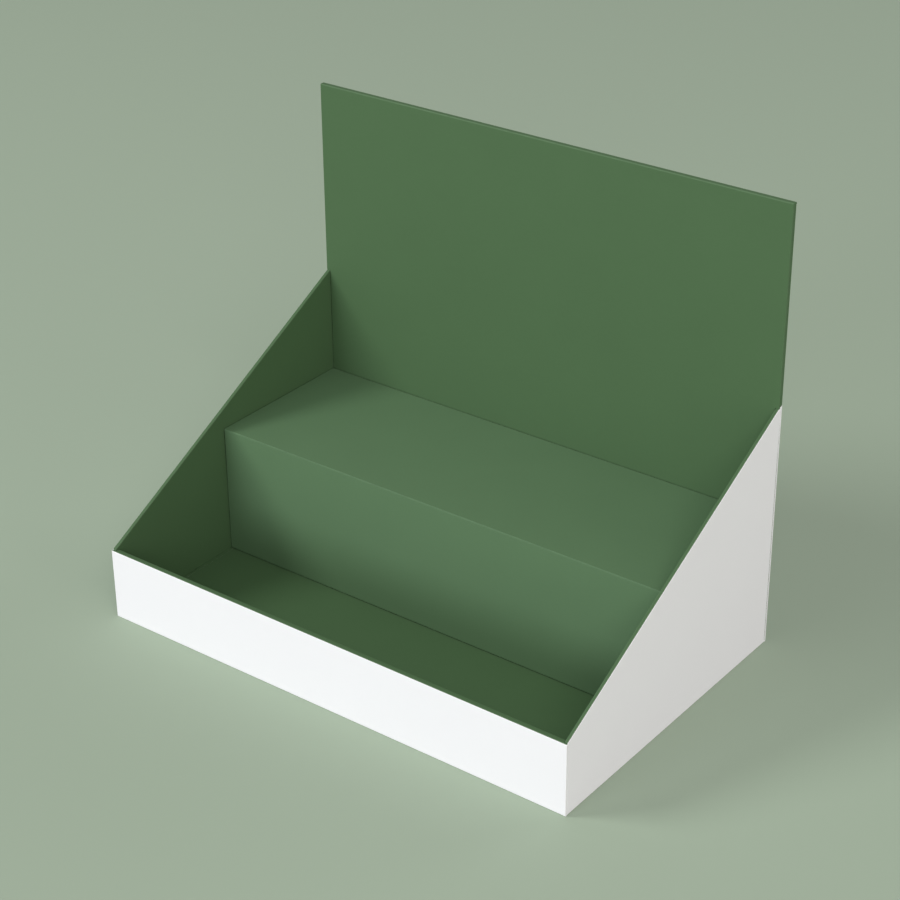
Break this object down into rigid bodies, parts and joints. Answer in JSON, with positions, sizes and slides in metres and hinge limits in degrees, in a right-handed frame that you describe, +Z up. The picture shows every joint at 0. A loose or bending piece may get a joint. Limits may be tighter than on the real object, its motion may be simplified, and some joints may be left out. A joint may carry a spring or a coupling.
{
  "type": "counter display box",
  "caption": "Folded board counter display tray with a low front, sloping double side walls, a tall plain header and a loose riser step that makes a second shelf.",
  "frame": {"origin": "middle of the footprint, on the surface the tray stands on", "axes": "+X to the right seen from the open front, +Y to the back and the header, +Z up"},
  "size_m": [0.3, 0.191, 0.255],
  "materials": {
    "printed_board": "matt printed fine-flute board, sage green on the inside, the roll-over edges and the header, white on the outside",
    "riser_board": "matt printed fine-flute board, sage green"
  },
  "bodies": {
    "root": {"display_tray": "printed_board", "riser_step": "riser_board"}
  },
  "joints": []
}
